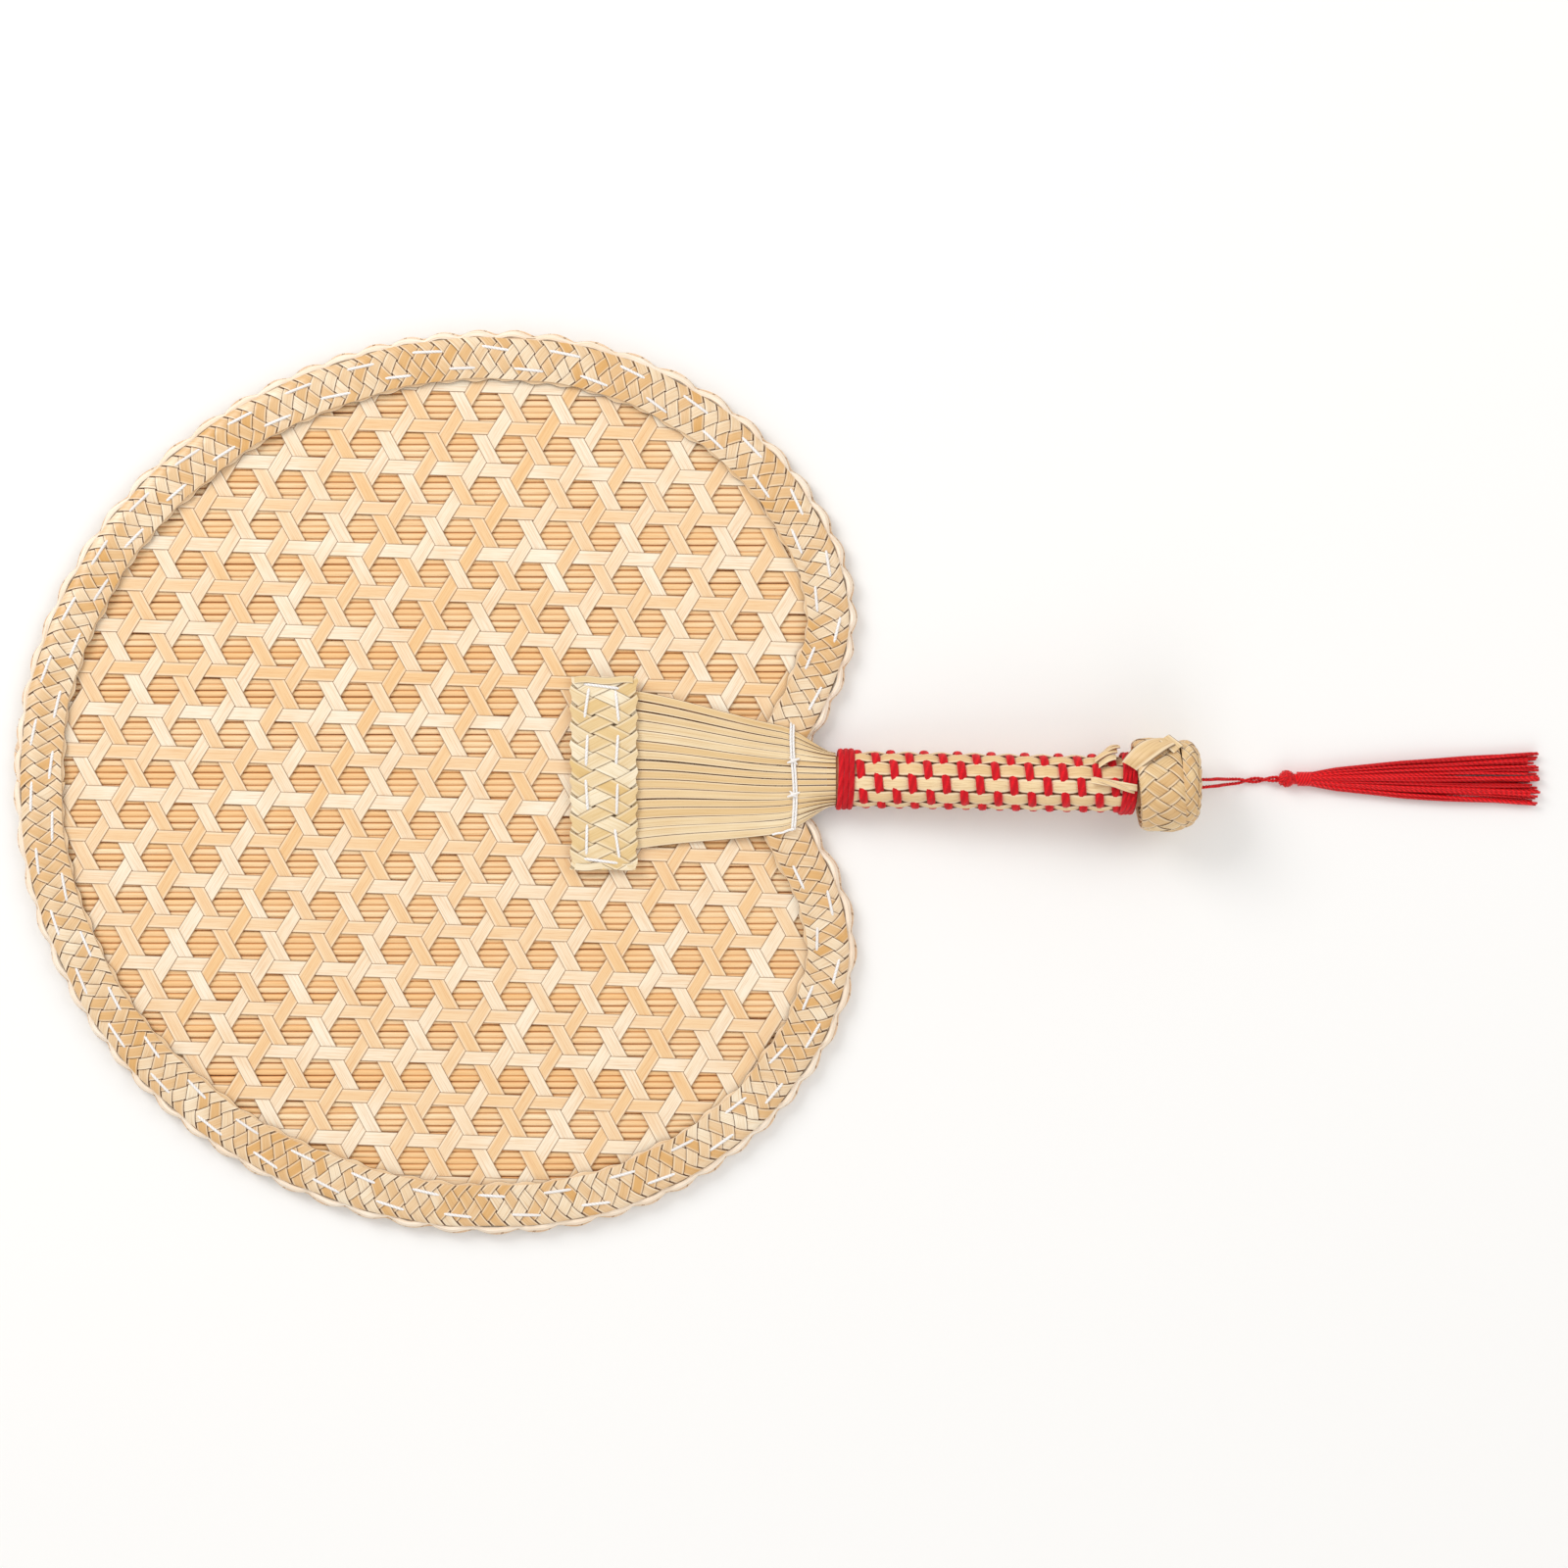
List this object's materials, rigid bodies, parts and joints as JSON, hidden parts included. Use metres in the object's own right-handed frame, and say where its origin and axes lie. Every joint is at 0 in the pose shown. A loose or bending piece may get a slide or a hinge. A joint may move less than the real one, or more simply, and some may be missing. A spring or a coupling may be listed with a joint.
{
  "type": "woven straw hand fan",
  "caption": "Rigid hand fan woven from straw, with a braided rim, a yarn-woven handle, a braided knob and a silk tassel on a cord loop.",
  "frame": {"origin": "middle of the fan's own box on the surface it lies on, cord and tassel left out", "axes": "+X from the blade's far end to the knob, +Y across the blade, +Z out of the blade's face"},
  "size_m": [0.4829, 0.2842, 0.0317],
  "materials": {
    "core_straw": "round dried wheat straw, satin",
    "pale_strip": "flattened pale straw strip, satin",
    "tan_strip": "flattened tan straw strip, satin",
    "rim_straw": "braided straw, satin",
    "stalk_straw": "folded straw, matte",
    "knob_straw": "braided straw, matte",
    "white_thread": "cotton thread",
    "red_yarn": "fuzzy yarn, matte",
    "red_silk": "silky twisted thread"
  },
  "bodies": {
    "fan": {"straw_core": "core_straw", "weave_front_lengthwise": "pale_strip", "weave_front_rising": "tan_strip", "weave_front_falling": "tan_strip", "weave_back_lengthwise": "pale_strip", "weave_back_rising": "tan_strip", "weave_back_falling": "tan_strip", "rim_braid_front": "rim_straw", "rim_braid_back": "rim_straw", "rim_stitches_front": "white_thread", "rim_stitches_back": "white_thread", "stalks": "stalk_straw", "root_braid": "rim_straw", "root_stitches": "white_thread", "stalk_thread": "white_thread", "handle_core": "core_straw", "handle_warps": "stalk_straw", "handle_yarn": "red_yarn", "front_wrap": "red_yarn", "rear_wrap": "red_yarn", "loose_straw": "stalk_straw", "knob_band": "knob_straw", "knob_coil": "knob_straw", "cord_knot": "red_silk"},
    "cord_loop": {"cord_upper": "red_silk", "cord_lower": "red_silk"},
    "tassel_knot": {"tassel_head": "red_silk"},
    "tassel": {"tassel_binding": "red_silk", "tassel_skirt": "red_silk"}
  },
  "joints": [
    {"name": "cord_swing", "type": "hinge", "parent": "fan", "child": "cord_loop", "pos_m": [0.1872, -0.0005, 0.0159], "axis": [0, 1, 0], "range_deg": [-80, 35]},
    {"name": "tassel_sway", "type": "hinge", "parent": "cord_loop", "child": "tassel_knot", "pos_m": [0.2162, 0.001, 0.003], "axis": [0, 0, 1], "range_deg": [-75, 75]},
    {"name": "tassel_swing", "type": "hinge", "parent": "tassel_knot", "child": "tassel", "pos_m": [0.2162, 0.001, 0.003], "axis": [0, 1, 0], "range_deg": [-70, 60]}
  ]
}
